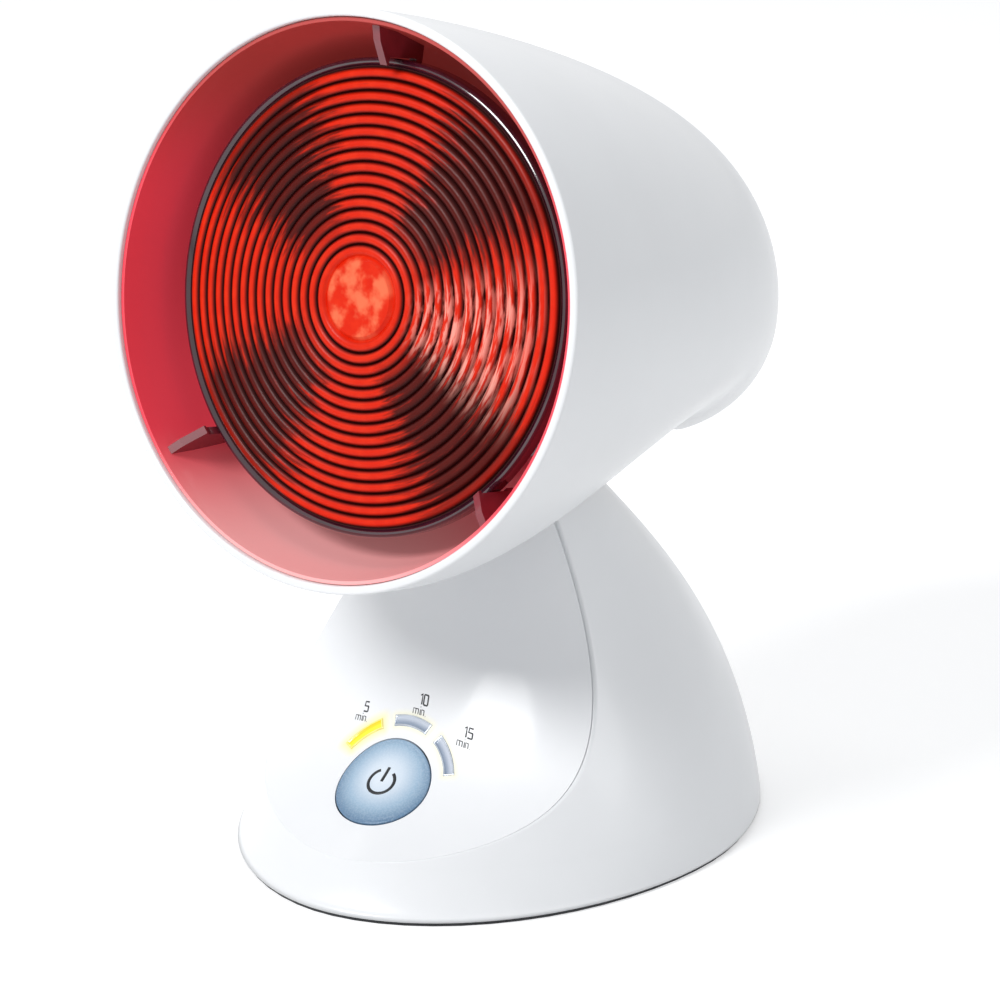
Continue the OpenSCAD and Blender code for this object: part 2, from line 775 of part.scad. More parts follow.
module mains_terminal() {
    color([0.9, 0.9, 0.86]) translate([-11, terminal_y, plate_top]) difference() {
        cube([22, 9, 8]);
        for (x = [5.5, 16.5]) translate([x, 4.5, 3]) cylinder(r = 1.6, h = 10);
    }
}

module thermal_fuse() {
    color([0.8, 0.8, 0.8]) translate([-20, terminal_y + 4.5, plate_top + 2.5])
        rotate([0, 90, 0]) cylinder(r = 2.4, h = 9);
}

module board_leads() {
    from_y = terminal_y + 4.5;
    color([0.85, 0.2, 0.15]) lead([
        [11, from_y, plate_top + 4], [28, from_y, plate_top + 4], [28, from_y - 1, ballast_top + 4],
        [25, -6, ballast_top + 5], panel_place([14, 19, -board_d - 9]), panel_place([14, 19, -board_d])
    ], 1.5);
}

module neck_leads() {
    top = [0, pivot_y, pivot_z];
    color([0.88, 0.86, 0.8]) lead([
        panel_place([0, 19, -board_d]), panel_place([0, 19, -board_d - 9]), [0, pivot_y, 34],
        top, top + [14, 0, 0]
    ], lead_r);
}

// --- Button ---

module power_button() {
    crown = 1.1;
    crown_r = (pow(button_r, 2) + pow(crown, 2)) / (2 * crown);
    color([0.62, 0.70, 0.78]) on_panel() difference() {
        intersection() {
            translate([0, 0, -4]) cylinder(r = button_r, h = 8, $fn = 96);
            translate([0, 0, 0.4 + crown - crown_r]) sphere(r = crown_r, $fn = 160);
        }
        symbol_shape(5, fit_gap / 2);
        translate([0, 0, -button_back - 3]) cylinder(r = button_r - 2, h = 3);
    }
}

module symbol_shape(height, grow) {
    translate([0, 0, 0.7]) {
        rotate([0, 0, 125]) rotate_extrude(angle = 290) translate([3.9 - grow, 0]) square([0.8 + 2 * grow, height]);
        translate([-0.4 - grow, 0.6 - grow, 0]) cube([0.8 + 2 * grow, 4.6 + 2 * grow, height]);
    }
}

module power_symbol() {
    color([0.1, 0.12, 0.15]) on_panel() intersection() {
        symbol_shape(0.68, 0);
        cylinder(r = 6, h = 4);
    }
}

// Reaches from the back of the button into the switch, and clears its floor over the travel
module switch_plunger() {
    low = switch_floor + button_travel + 0.4;
    color([0.85, 0.85, 0.82]) on_panel() translate([0, 0, low])
        cylinder(r = plunger_r, h = -button_back - 0.05 - low);
}

shade();
reflector_liner();
bulb_supports();
bulb_lens();
bulb_reflector();
filament();
filament_posts();
bulb_cap();
cap_insulator();
cap_contact();
lamp_holder();
holder_thread();
holder_contact();
holder_terminals();
holder_screws();
lamp_cradle();
cradle_screws();
pivot_bushes();
friction_washers();
head_leads();
base_shell();
front_panel();
base_plate();
ballast();
foot_ring();
plate_screws();
ballast_screws();
neck_bracket();
bracket_screws();
timer_board();
board_screws();
relay();
supply_capacitor();
tact_switch();
timer_leds();
led_window_5();
led_window_10();
led_window_15();
cord_gland();
mains_terminal();
thermal_fuse();
board_leads();
neck_leads();
power_button();
power_symbol();
switch_plunger();
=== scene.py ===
import math

import bmesh
import bpy
from mathutils import Matrix, Vector


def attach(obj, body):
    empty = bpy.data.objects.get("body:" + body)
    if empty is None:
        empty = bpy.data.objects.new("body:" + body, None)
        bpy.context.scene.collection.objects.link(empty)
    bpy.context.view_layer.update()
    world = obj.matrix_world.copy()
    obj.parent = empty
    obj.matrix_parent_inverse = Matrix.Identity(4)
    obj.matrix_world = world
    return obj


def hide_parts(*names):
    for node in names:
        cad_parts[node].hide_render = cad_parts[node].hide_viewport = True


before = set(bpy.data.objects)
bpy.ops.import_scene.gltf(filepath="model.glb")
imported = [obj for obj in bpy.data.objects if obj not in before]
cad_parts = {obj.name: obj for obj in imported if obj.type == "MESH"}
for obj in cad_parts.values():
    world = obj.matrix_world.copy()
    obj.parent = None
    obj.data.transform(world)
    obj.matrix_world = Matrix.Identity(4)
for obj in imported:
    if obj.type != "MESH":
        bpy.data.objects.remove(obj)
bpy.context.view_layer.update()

MM = 0.001

# Camera: the lamp is seen from its own left front, a little from above, with the
# long lens of a product photograph.
AZIMUTH = math.radians(36.04)
ELEVATION = math.radians(19)
LOOK_AT = Vector((-2.1, -1.6, 89.8)) * MM
toward_camera = Vector((
    math.sin(AZIMUTH) * math.cos(ELEVATION), -math.cos(AZIMUTH) * math.cos(ELEVATION), math.sin(ELEVATION)
))
camera = bpy.data.objects.new("camera", bpy.data.cameras.new("camera"))
camera.data.lens = 131.8
camera.data.sensor_width = 36
camera.location = LOOK_AT + toward_camera
camera.rotation_euler = (math.pi / 2 - ELEVATION, 0, AZIMUTH)
bpy.context.scene.collection.objects.link(camera)
bpy.context.scene.camera = camera
bpy.context.scene.view_settings.view_transform = "Standard"


# Studio: one pale sheet of paper under the lamp, a large soft light on the camera's
# left, weaker ones on its right and above it, and a pale room.
right_of_camera = Vector((math.cos(AZIMUTH), math.sin(AZIMUTH), 0))
front_of_camera = Vector((math.sin(AZIMUTH), -math.cos(AZIMUTH), 0))


def soft_light(name, right, front, up, width, watts, colour=(1, 1, 1)):
    lamp = bpy.data.lights.new(name, "AREA")
    lamp.shape = "DISK"
    lamp.size = width
    lamp.energy = watts
    lamp.color = colour
    holder = bpy.data.objects.new(name, lamp)
    holder.location = right_of_camera * right + front_of_camera * front + Vector((0, 0, up))
    aim = Vector((0, 0, 0.12)) - holder.location
    holder.rotation_euler = aim.to_track_quat("-Z", "Y").to_euler()
    bpy.context.scene.collection.objects.link(holder)


soft_light("key_light", -1.15, 1.0, 1.35, 0.7, 24)
soft_light("side_light", 1.5, 0.6, 0.7, 0.7, 4)
soft_light("top_light", -0.2, -0.6, 1.7, 1.2, 8)


class Wire:
    """A node socket that takes part in sums, so that a pattern reads as an expression."""

    def __init__(self, tree, socket=None):
        self.tree = tree
        self.socket = socket

    def node(self, kind, sockets, output=0, stops=None, **settings):
        made = self.tree.nodes.new(kind)
        for name, value in settings.items():
            setattr(made, name, value)
        if stops:
            ramp = made.color_ramp.elements
            while len(ramp) < len(stops):
                ramp.new(0.5)
            for element, (place, colour) in zip(ramp, stops):
                element.position = place
                element.color = (*colour, 1)
        for name, value in sockets.items():
            if isinstance(value, Wire):
                self.tree.links.new(value.socket, made.inputs[name])
            else:
                made.inputs[name].default_value = value
        return Wire(self.tree, made.outputs[output] if made.outputs else None)

    def sum(self, operation, a, b=0.0):
        return self.node("ShaderNodeMath", {0: a, 1: b}, operation=operation)

    def __add__(self, other):
        return self.sum("ADD", self, other)

    def __sub__(self, other):
        return self.sum("SUBTRACT", self, other)

    def __rsub__(self, other):
        return self.sum("SUBTRACT", other, self)

    def __mul__(self, other):
        return self.sum("MULTIPLY", self, other)

    def __truediv__(self, other):
        return self.sum("DIVIDE", self, other)

    def __pow__(self, other):
        return self.sum("POWER", self, other)

    __radd__ = __add__
    __rmul__ = __mul__

    def size(self):
        return self.sum("ABSOLUTE", self)

    def at_least(self, other):
        return self.sum("MAXIMUM", self, other)

    def step(self, low, high):
        """0 below low and 1 above high, with a soft change between them."""
        return self.node(
            "ShaderNodeMapRange", {"Value": self, "From Min": low, "From Max": high},
            interpolation_type="SMOOTHSTEP",
        )

    def between(self, a, b):
        """Colour a where this value is 0 and colour b where it is 1."""
        colours = {
            6: a if isinstance(a, Wire) else (*a, 1),
            7: b if isinstance(b, Wire) else (*b, 1),
        }
        return self.node("ShaderNodeMix", {0: self, **colours}, output=2, data_type="RGBA")


def bright_rays(wire):
    """1 where the camera sees this surface, straight or in metal and glass."""
    rays = [wire.node("ShaderNodeLightPath", {}, output=ray) for ray in (0, 3, 6)]
    return rays[0].at_least(rays[1]).at_least(rays[2])


paper = bpy.data.materials.new("paper")
paper.use_nodes = True
paper.node_tree.nodes.clear()
wire = Wire(paper.node_tree)
sheet = wire.node("ShaderNodeBsdfDiffuse", {"Color": (0.80, 0.80, 0.80, 1)})
lift = wire.node("ShaderNodeEmission", {"Color": (1, 1, 1, 1), "Strength": 0.40})
lifted = wire.node("ShaderNodeAddShader", {0: sheet, 1: lift})
wire.node("ShaderNodeOutputMaterial", {
    0: wire.node("ShaderNodeMixShader", {0: bright_rays(wire), 1: sheet, 2: lifted}),
})
bm = bmesh.new()
bmesh.ops.create_grid(bm, x_segments=1, y_segments=1, size=12)
mesh = bpy.data.meshes.new("floor")
bm.to_mesh(mesh)
bm.free()
mesh.materials.append(paper)
floor = bpy.data.objects.new("floor", mesh)
bpy.context.scene.collection.objects.link(floor)

world = bpy.data.worlds.new("room")
world.use_nodes = True
world.node_tree.nodes.clear()
wire = Wire(world.node_tree)
room = wire.node("ShaderNodeBackground", {"Color": (0.94, 0.965, 1.0, 1), "Strength": 0.44})
white = wire.node("ShaderNodeBackground", {"Color": (1, 1, 1, 1), "Strength": 1.0})
wire.node("ShaderNodeOutputWorld", {
    0: wire.node("ShaderNodeMixShader", {0: bright_rays(wire), 1: room, 2: white}),
})
bpy.context.scene.world = world


# Foot ring, closing plate and what is bolted to it: a rubber ring, a dark moulded
# plate, a cast ballast block and a pressed-steel frame for the neck.
def place_of(wire, matrix=None):
    """Object coordinates, or those of a frame given by its matrix, in metres."""
    spot = wire.node("ShaderNodeTexCoord", {}, output=3)
    if matrix is None:
        return spot
    return wire.node(
        "ShaderNodeMapping",
        {"Vector": spot, "Location": matrix.to_translation(), "Rotation": matrix.to_euler()},
        vector_type="TEXTURE",
    )


def grain(wire, spot, scale, detail=3.0):
    return wire.node("ShaderNodeTexNoise", {"Vector": spot, "Scale": scale, "Detail": detail}, output=0)


def finish(name, colour, roughness=0.4, relief=None, relief_depth=0.1, glow=False, **constants):
    """A Principled material; colour, roughness and relief may vary over the surface."""
    material = bpy.data.materials.new(name)
    material.use_nodes = True
    tree = material.node_tree
    shader = tree.nodes["Principled BSDF"]
    wire = Wire(tree)

    def feed(socket, value):
        value = value(wire) if callable(value) else value
        if isinstance(value, Wire):
            tree.links.new(value.socket, shader.inputs[socket])
        else:
            shader.inputs[socket].default_value = (*value, 1) if isinstance(value, tuple) else value
        return value

    colour = feed("Base Color", colour)
    feed("Roughness", roughness)
    if glow:
        feed("Emission Color", colour)
    if relief:
        bump = wire.node("ShaderNodeBump", {
            "Height": relief(wire), "Strength": 1.0, "Distance": relief_depth * MM,
        })
        tree.links.new(bump.socket, shader.inputs["Normal"])
    for socket, value in constants.items():
        shader.inputs[socket.replace("_", " ")].default_value = value
    return material


def speckled(colour, depth=0.12, scale=900):
    """A colour whose depth drifts a little over the piece, as moulded and cast parts do."""
    darker = tuple(part * (1 - depth) for part in colour)
    return lambda wire: grain(wire, place_of(wire), scale).step(0.3, 0.7).between(darker, colour)


def fine_grain(scale):
    return lambda wire: grain(wire, place_of(wire), scale)


def worn(low, high, scale=60):
    """Roughness that changes in soft patches between two values."""
    return lambda wire: grain(wire, place_of(wire), scale, 2.0) * (high - low) + low


def dress(material, *nodes):
    """Gives pieces that keep their solid's shape their real finish."""
    for node in nodes:
        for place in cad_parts[node].material_slots:
            place.material = material


rubber = finish("foot_rubber", speckled((0.035, 0.036, 0.040)), 0.75, fine_grain(4000), 0.05)
dark_plastic = finish(
    "plate_plastic", speckled((0.055, 0.057, 0.062)), worn(0.42, 0.6), fine_grain(2600), 0.04,
)
cast_iron = finish(
    "ballast_iron", speckled((0.16, 0.155, 0.15), 0.5, 260), worn(0.55, 0.8), fine_grain(700), 0.25,
    Metallic=0.7,
)
zinc = finish(
    "zinc_steel", speckled((0.62, 0.63, 0.66), 0.14, 420), worn(0.26, 0.42, 300), fine_grain(1500), 0.02,
    Metallic=1.0,
)
dress(rubber, "foot_ring")
dress(dark_plastic, "base_plate", "cord_gland")
dress(cast_iron, "ballast")
dress(zinc, "neck_bracket", "bracket_screws", "plate_screws", "ballast_screws", "board_screws")
dress(zinc, "thermal_fuse")

# Timer board with its relay, capacitor and switch, and the leads: inside the base,
# screwed to posts behind the panel.
board_green = finish("board_green", speckled((0.02, 0.16, 0.07), 0.3, 500), 0.35, fine_grain(900), 0.03)
case_blue = finish(
    "component_plastic", speckled((0.04, 0.07, 0.16)), worn(0.35, 0.5), fine_grain(2000), 0.03,
)
led_resin = finish("led_clear", speckled((0.95, 0.74, 0.16), 0.06), 0.15, Coat_Weight=0.5)
silicone = finish("sleeved_lead", speckled((0.72, 0.68, 0.60), 0.1, 1200), 0.6, fine_grain(1800), 0.05)
dress(board_green, "timer_board")
dress(case_blue, "relay", "supply_capacitor", "tact_switch")
dress(led_resin, "timer_leds")
dress(silicone, "board_leads", "neck_leads", "head_leads")
dress(finish("plunger_plastic", speckled((0.74, 0.74, 0.70)), 0.45), "switch_plunger")


# Base shell: a white moulded dome on an oval foot. Its front is open in the shape of
# an arch, where the timer panel closes it, and its top is the neck.
FOOT_T = 1.2
BASE_H = 108
BASE_W = 137.4
BASE_FRONT = 88.5
BASE_BACK = 78
TOP_SIDE = 9.3
TOP_FRONT = 47.3
TOP_BACK = 13.3
TOP_LEAN = 3.5
SIDE_POWER = 1.91
NECK_TOP = 101.3
NECK_Y = 5
NECK_ROUND = 0.8
HOLE_SIDE = 12.4
HOLE_REACH = 9.2
HOLE_POWER = 0.4
PANEL_AXIS_Y = 60
PANEL_RADII = (152, 114, 106.5, 68.4)
PANEL_HEIGHTS = (7.9, 27, 18.6, 110)
SEAM_GAP = 0.15
WALL = 2.2


def shaped(name, bm, materials=(), sharp=35):
    """An object from a bmesh, smooth except over its sharp edges."""
    mesh = bpy.data.meshes.new(name)
    bm.to_mesh(mesh)
    bm.free()
    for material in materials:
        mesh.materials.append(material)
    mesh.shade_smooth()
    mesh.set_sharp_from_angle(angle=math.radians(sharp))
    made = bpy.data.objects.new(name, mesh)
    bpy.context.scene.collection.objects.link(made)
    return made


def add_piece(name, bm, materials, body, replaced=(), sharp=35):
    piece = shaped(name, bm, materials, sharp)
    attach(piece, body)
    if replaced:
        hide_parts(*replaced)
    return piece


def share(z, power, root):
    rise = min(1, max(0, z - FOOT_T) / (BASE_H - FOOT_T))
    return (1 - rise ** power) ** root


def section(z):
    """Half width, reach to the front, reach to the back and centre of the dome at height z."""
    half = TOP_SIDE + (BASE_W / 2 - TOP_SIDE) * share(z, 1.25, 0.81)
    front = TOP_FRONT + (BASE_FRONT - TOP_FRONT) * share(z, 0.5, 0.49)
    back = TOP_BACK + (BASE_BACK - TOP_BACK) * share(z, 2.28, 1.35)
    return half, front, back, TOP_LEAN * z / BASE_H


def squared(value, power):
    """A cosine or sine raised to a power, with its sign kept: it squares a circle's sides."""
    return math.copysign(abs(value) ** power, value)


def dome_point(z, angle):
    half, front, back, centre = section(z)
    c = math.cos(angle)
    s = math.sin(angle)
    reach = front if s < 0 else back
    power = 2 / SIDE_POWER
    return Vector((squared(c, power) * half, squared(s, power) * reach + centre, z))


def bezier(t, a, b, c, d):
    u = 1 - t
    return u ** 3 * a + 3 * u * u * t * b + 3 * u * t * t * c + t ** 3 * d


def solve(value, low, high):
    """Where a rising function of one number passes zero."""
    for _ in range(40):
        middle = (low + high) / 2
        if value(middle) < 0:
            low = middle
        else:
            high = middle
    return (low + high) / 2


def panel_radius(z):
    """Radius of the panel at height z, about an upright axis behind it."""
    t = solve(lambda t: bezier(t, *PANEL_HEIGHTS) - z, 0, 1)
    return bezier(t, *PANEL_RADII)


def seam_angle(z):
    """Half angle of the panel at height z, seen from its own upright axis."""
    radius = panel_radius(z)
    half, front, back, centre = section(z)

    def outside(angle):
        x = abs(radius * math.sin(angle)) / half
        y = PANEL_AXIS_Y - radius * math.cos(angle) - centre
        y = abs(y) / (front if y < 0 else back)
        return x ** SIDE_POWER + y ** SIDE_POWER - 1

    return solve(outside, 0, 1.2) if outside(0) < 0 else 0


def panel_depth(z):
    """How far the middle of the panel lies behind the dome's front at height z."""
    half, front, back, centre = section(z)
    return PANEL_AXIS_Y - panel_radius(z) - (centre - front)


seam_low = solve(panel_depth, 4, 30)


def dome_start(z):
    """Angle on the dome's outline where the shell meets the panel, on the +X side."""
    if z <= seam_low:
        return -math.pi / 2
    x = panel_radius(z) * math.sin(seam_angle(z)) + SEAM_GAP
    c = min(1, x / section(z)[0]) ** (SIDE_POWER / 2)
    return -math.acos(c)


def curved_grid(columns, rows, shape):
    """A grid of faces whose points shape(u, row) moves into place, in millimetres."""
    bm = bmesh.new()
    bmesh.ops.create_grid(bm, x_segments=columns, y_segments=rows, size=0.5)
    for vert in bm.verts:
        vert.co = shape(vert.co.x + 0.5, round((vert.co.y + 0.5) * rows))
    bmesh.ops.scale(bm, verts=bm.verts, vec=(MM, MM, MM))
    bmesh.ops.remove_doubles(bm, verts=bm.verts, dist=1e-6)
    return bm


def face_away(bm, centre):
    """Turns an open sheet's faces away from a point inside it."""
    outward = sum((f.calc_center_median() - centre).dot(f.normal) * f.calc_area() for f in bm.faces)
    if outward < 0:
        bmesh.ops.reverse_faces(bm, faces=bm.faces)


def settle(piece):
    """Makes a piece's modifiers part of its mesh."""
    graph = bpy.context.evaluated_depsgraph_get()
    mesh = bpy.data.meshes.new_from_object(piece.evaluated_get(graph))
    piece.modifiers.clear()
    piece.data = mesh
    return piece


shell_columns = 180
low_rows = 14
arch_rows = 84
arch_height = NECK_TOP - NECK_ROUND - seam_low
shell_rows = [FOOT_T + (seam_low - FOOT_T) * i / low_rows for i in range(low_rows)]
shell_rows += [seam_low + arch_height * (i / arch_rows) ** 2 for i in range(arch_rows + 1)]
# The neck's top: how far in from the dome's edge each row lies, and its share of the rounding
roof = [(0.12, 0.5), (0.5, 0.88), (1, 1), (3, 1), (100, 1)]
HOLE_START = math.radians(-70)


def shell_point(u, row):
    inset, rise = (0, 0) if row < len(shell_rows) else roof[row - len(shell_rows)]
    z = shell_rows[min(row, len(shell_rows) - 1)]
    start = dome_start(z)
    angle = start + u * (math.pi - 2 * start)
    edge = dome_point(z, angle)
    if row < len(shell_rows):
        return edge
    angle = HOLE_START + u * (math.pi - 2 * HOLE_START)
    hole_x = squared(math.cos(angle), HOLE_POWER) * HOLE_SIDE
    hole_y = NECK_Y + squared(math.sin(angle), HOLE_POWER) * HOLE_REACH
    hole = Vector((hole_x, hole_y, z))
    inward = min(1, inset / max(0.01, (hole - edge).length))
    return edge.lerp(hole, inward) + Vector((0, 0, NECK_ROUND * rise))


white_shell = finish(
    "shell_plastic", speckled((0.85, 0.862, 0.878), 0.02, 30), worn(0.32, 0.40, 40),
    fine_grain(2500), 0.012, Coat_Weight=0.25, Coat_Roughness=0.12,
)
bm = curved_grid(shell_columns, len(shell_rows) + len(roof) - 1, shell_point)
inside_base = Vector((0, 0, 0.04))
face_away(bm, inside_base)
shell = add_piece("base_shell_moulding", bm, [white_shell], "base", ["base_shell"])
wall = shell.modifiers.new("wall", "SOLIDIFY")
wall.thickness = WALL * MM
wall.offset = -1
settle(shell)
# The wall's lower edge is cut level, so that the foot ring shows under it
for vert in shell.data.vertices:
    vert.co.z = max(vert.co.z, FOOT_T * MM)


# Front panel: a separate white moulding that is hollow from top to bottom and round
# from side to side, clipped into the arch with a fine gap all round.
BUTTON_R = 13.5
BUTTON_GAP = 0.35
SLOPE = math.radians(35)
BUTTON_T = 0.395
button_z = bezier(BUTTON_T, *PANEL_HEIGHTS)
button_y = PANEL_AXIS_Y - bezier(BUTTON_T, *PANEL_RADII)
PANEL = Matrix.Translation((0, button_y * MM, button_z * MM)) @ Matrix.Rotation(SLOPE, 4, "X")
window_r = 17.2
window_w = 3.0
window_step = math.radians(47)
window_span = math.radians(35)

panel_columns = 96
panel_rows_n = 100
panel_foot = seam_low + 0.02
panel_height = NECK_TOP - 0.4 - seam_low
panel_rows = [panel_foot + panel_height * (i / panel_rows_n) ** 2 for i in range(panel_rows_n + 1)]
# At the neck's top the panel turns inwards by these lengths, to this half width
panel_lip = [0.4, 3, 6.5]
panel_lip_side = 8


def panel_sheet_point(u, row):
    z = panel_rows[min(row, panel_rows_n)]
    radius = panel_radius(z)
    half = max(0, seam_angle(z) - SEAM_GAP / radius)
    if row > panel_rows_n:
        z = NECK_TOP
        inset = panel_lip[row - panel_rows_n - 1]
        radius -= inset
        half += (math.asin(panel_lip_side / radius) - half) * inset / panel_lip[-1]
    angle = (2 * u - 1) * half
    return Vector((radius * math.sin(angle), PANEL_AXIS_Y - radius * math.cos(angle), z))


def across_and_up(wire, matrix):
    """X and Y of the frame given by a matrix, in metres."""
    spot = wire.node("ShaderNodeSeparateXYZ", {0: place_of(wire, matrix)}, output=0)
    return spot, Wire(wire.tree, spot.socket.node.outputs[1])


def window_glow(wire, turn, reach):
    """1 on a light window and fading to 0 within reach of it: the mask of the glow painted onto the panel.
    """
    x, y = across_and_up(wire, PANEL)
    radius = (x * x + y * y) ** 0.5
    angle = wire.sum("ARCTAN2", x, y) - turn
    middle = (window_r + window_w / 2) * MM
    across = ((radius - middle).size() - window_w / 2 * MM).at_least(0)
    along = ((angle.size() - window_span / 2) * middle).at_least(0)
    distance = (across * across + along * along) ** 0.5
    return 1 - distance.step(-0.3 * reach * MM, reach * MM)


# Painted light: the lit window's yellow glow, and a fainter one round the two others, are painted into the
# panel's colour.
def panel_colour(wire):
    drift = grain(wire, place_of(wire), 30).step(0.3, 0.7)
    plain = drift.between((0.84, 0.85, 0.868), (0.86, 0.868, 0.882))
    painted_faint_glow = window_glow(wire, 0, 2.2).at_least(window_glow(wire, window_step, 2.2)) * 0.55
    with_painted_faint_glow = painted_faint_glow.between(plain, (1.0, 0.93, 0.52))
    return (window_glow(wire, -window_step, 3.4) * 0.75).between(with_painted_faint_glow, (1.0, 0.88, 0.28))


white_panel = finish(
    "panel_plastic", panel_colour, worn(0.28, 0.36, 40), fine_grain(2500), 0.012,
    Coat_Weight=0.25, Coat_Roughness=0.12,
)
bm = curved_grid(panel_columns, panel_rows_n + len(panel_lip), panel_sheet_point)
face_away(bm, inside_base)
panel = add_piece("front_panel_moulding", bm, [white_panel], "base", ["front_panel"])
wall = panel.modifiers.new("wall", "SOLIDIFY")
wall.thickness = WALL * MM
wall.offset = -1
bm = bmesh.new()
hole_r = (BUTTON_R + BUTTON_GAP) * MM
bmesh.ops.create_cone(
    bm, cap_ends=True, segments=128, radius1=hole_r, radius2=hole_r, depth=30 * MM, matrix=PANEL,
)
cutter = shaped("button_hole", bm)
hole = panel.modifiers.new("hole", "BOOLEAN")
hole.object = cutter
hole.solver = "EXACT"
settle(panel)
panel.data.set_sharp_from_angle(angle=math.radians(35))
bpy.data.objects.remove(cutter)


def on_panel(x, y, lift=0.0):
    """A point of the panel's surface over (x, y) of the button's frame, lifted off it, in millimetres."""
    def height(z):
        p = PANEL @ (Vector((x, y, z)) * MM) / MM
        return math.hypot(p.x, PANEL_AXIS_Y - p.y) - panel_radius(p.z)

    z = solve(height, -8, 8)
    return PANEL @ (Vector((x, y, z + lift)) * MM) / MM


# Light windows: three curved bars of clear plastic in silver frames, over the lamps
# on the board. The five-minute one is lit.
frame_silver = finish(
    "window_frame", speckled((0.55, 0.60, 0.67), 0.2, 300), 0.22, Metallic=0.55, Coat_Weight=0.4,
)


def bar_shade(inner, outer):
    """A painted shading that changes a bar's colour from its inner edge to its outer one."""
    def shade(wire):
        x, y = across_and_up(wire, PANEL)
        radius = (x * x + y * y) ** 0.5
        middle = (window_r + window_w / 2) * MM
        return ((radius - middle) / (window_w / 2 * MM)).step(-0.55, 0.6).between(inner, outer)

    return shade


grey_bar = finish(
    "window_plain", bar_shade((0.24, 0.30, 0.40), (0.56, 0.61, 0.70)), 0.25, Coat_Weight=0.5,
)
lit_bar = finish(
    "window_lit", bar_shade((0.98, 0.80, 0.02), (0.72, 0.50, 0.0)), 0.25,
    glow=True, Emission_Strength=0.35, Coat_Weight=0.5,
)
# Painted light: the lit window's frame is the silver frame painted yellow with its lamp's light.
frame_painted_lamp_light = finish("window_frame_painted_lamp_light", speckled((0.98, 0.86, 0.25), 0.1, 300), 0.3, Coat_Weight=0.4)
frame_w = 0.5
# Distances of the rows from a bar's edge, and their heights over the panel
steps_in = [-0.02, 0, 0.12, 0.42, 0.62, 0.8]
lifts = [-0.9, 0.28, 0.36, 0.30, 0.12, 0.10]
columns, rows = 32, 12


def window_point(turn, u, v):
    """Columns and rows close up towards the bar's edges, where its frame stands up."""
    def spread(index, count, length):
        edge = min(index, count - index)
        last = len(steps_in) - 1
        place = steps_in[min(edge, last)]
        if edge > last:
            place += (length / 2 - place) * (edge - last) / (count / 2 - last)
        return (place if index <= count / 2 else length - place), lifts[min(edge, last)]

    middle = window_r + window_w / 2
    along, lift_u = spread(round(u * columns), columns, window_span * middle)
    across, lift_v = spread(v, rows, window_w)
    angle = turn - window_span / 2 + along / middle
    radius = window_r + across
    lift = min(lift_u, lift_v)
    if lift > 0:
        lift = max(lift_u, lift_v)
    return on_panel(radius * math.sin(angle), radius * math.cos(angle), lift)


for minutes, turn, fill, edge, slot in (
    (5, -window_step, lit_bar, frame_painted_lamp_light, "window_lit"),
    (10, 0, grey_bar, frame_silver, "window_plain"),
    (15, window_step, grey_bar, frame_silver, "window_plain"),
):
    bm = curved_grid(columns, rows, lambda u, v: window_point(turn, u, v))
    face_away(bm, Vector((0, -0.03, 0)))
    middle = window_r + window_w / 2
    for face in bm.faces:
        spot = PANEL.inverted() @ face.calc_center_median() / MM
        across = math.hypot(spot.x, spot.y) - window_r
        along = (math.atan2(spot.x, spot.y) - turn + window_span / 2) * middle
        depth = min(across, window_w - across, along, window_span * middle - along)
        face.material_index = 1 if depth < frame_w else 0
    replaced = [f"led_window_{minutes}"]
    add_piece(f"light_window_{minutes}", bm, [fill, edge], "base", replaced, sharp=60)


# Minute marks: plain numbers printed on the panel beside each window, in thin
# strokes that lean against the slope.
ink = finish("print_ink", speckled((0.012, 0.013, 0.018), 0.2), 0.5)
GLYPHS = {
    "5": [[
        (0.9, 1), (0.2, 1), (0.12, 0.56), (0.8, 0.56), (0.86, 0.48), (0.86, 0.08), (0.78, 0), (0.05, 0),
    ]],
    "1": [[(0.1, 0.86), (0.42, 1), (0.42, 0)]],
    "0": [[
        (0.18, 0), (0.1, 0.1), (0.1, 0.9), (0.18, 1), (0.78, 1), (0.86, 0.9), (0.86, 0.1), (0.78, 0),
        (0.18, 0),
    ]],
    "m": [
        [(0, 0), (0, 1), (0.66, 1), (0.74, 0.9), (0.74, 0)],
        [(0.74, 0.9), (0.82, 1), (1.4, 1), (1.48, 0.9), (1.48, 0)],
    ],
    "i": [[(0.3, 0), (0.3, 1)], [(0.3, 1.42), (0.3, 1.55)]],
    "n": [[(0.1, 0), (0.1, 1), (0.74, 1), (0.84, 0.88), (0.84, 0)]],
    ".": [[(0.2, 0), (0.28, 0)]],
}
ADVANCE = {"5": 1.1, "1": 0.66, "0": 1.1, "m": 1.75, "i": 0.55, "n": 1.1, ".": 0.4}


def printed(name, word, x, y, width, height, weight, slant=-0.24):
    """Strokes of one word, centred on (x, y) of the button's frame and laid on the panel."""
    curve = bpy.data.curves.new(name, "CURVE")
    curve.dimensions = "3D"
    curve.bevel_depth = weight / 2
    curve.bevel_resolution = 2
    curve.use_fill_caps = True
    cursor = -sum(ADVANCE[letter] for letter in word) * width / 2
    for letter in word:
        for stroke in GLYPHS[letter]:
            spline = curve.splines.new("POLY")
            spline.points.add(len(stroke) - 1)
            for point, (u, v) in zip(spline.points, stroke):
                point.co = (cursor + u * width + v * height * slant, (v - 0.5) * height, 0, 1)
        cursor += ADVANCE[letter] * width
    pen = bpy.data.objects.new(name, curve)
    bpy.context.scene.collection.objects.link(pen)
    graph = bpy.context.evaluated_depsgraph_get()
    bm = bmesh.new()
    bm.from_mesh(bpy.data.meshes.new_from_object(pen.evaluated_get(graph)))
    bpy.data.objects.remove(pen)
    for vert in bm.verts:
        flat = vert.co.z / (weight / 2)
        vert.co = on_panel(x + vert.co.x, y + vert.co.y, 0.02 + 0.04 * flat) * MM
    bmesh.ops.remove_doubles(bm, verts=bm.verts, dist=1e-7)
    add_piece(name, bm, [ink], "base")


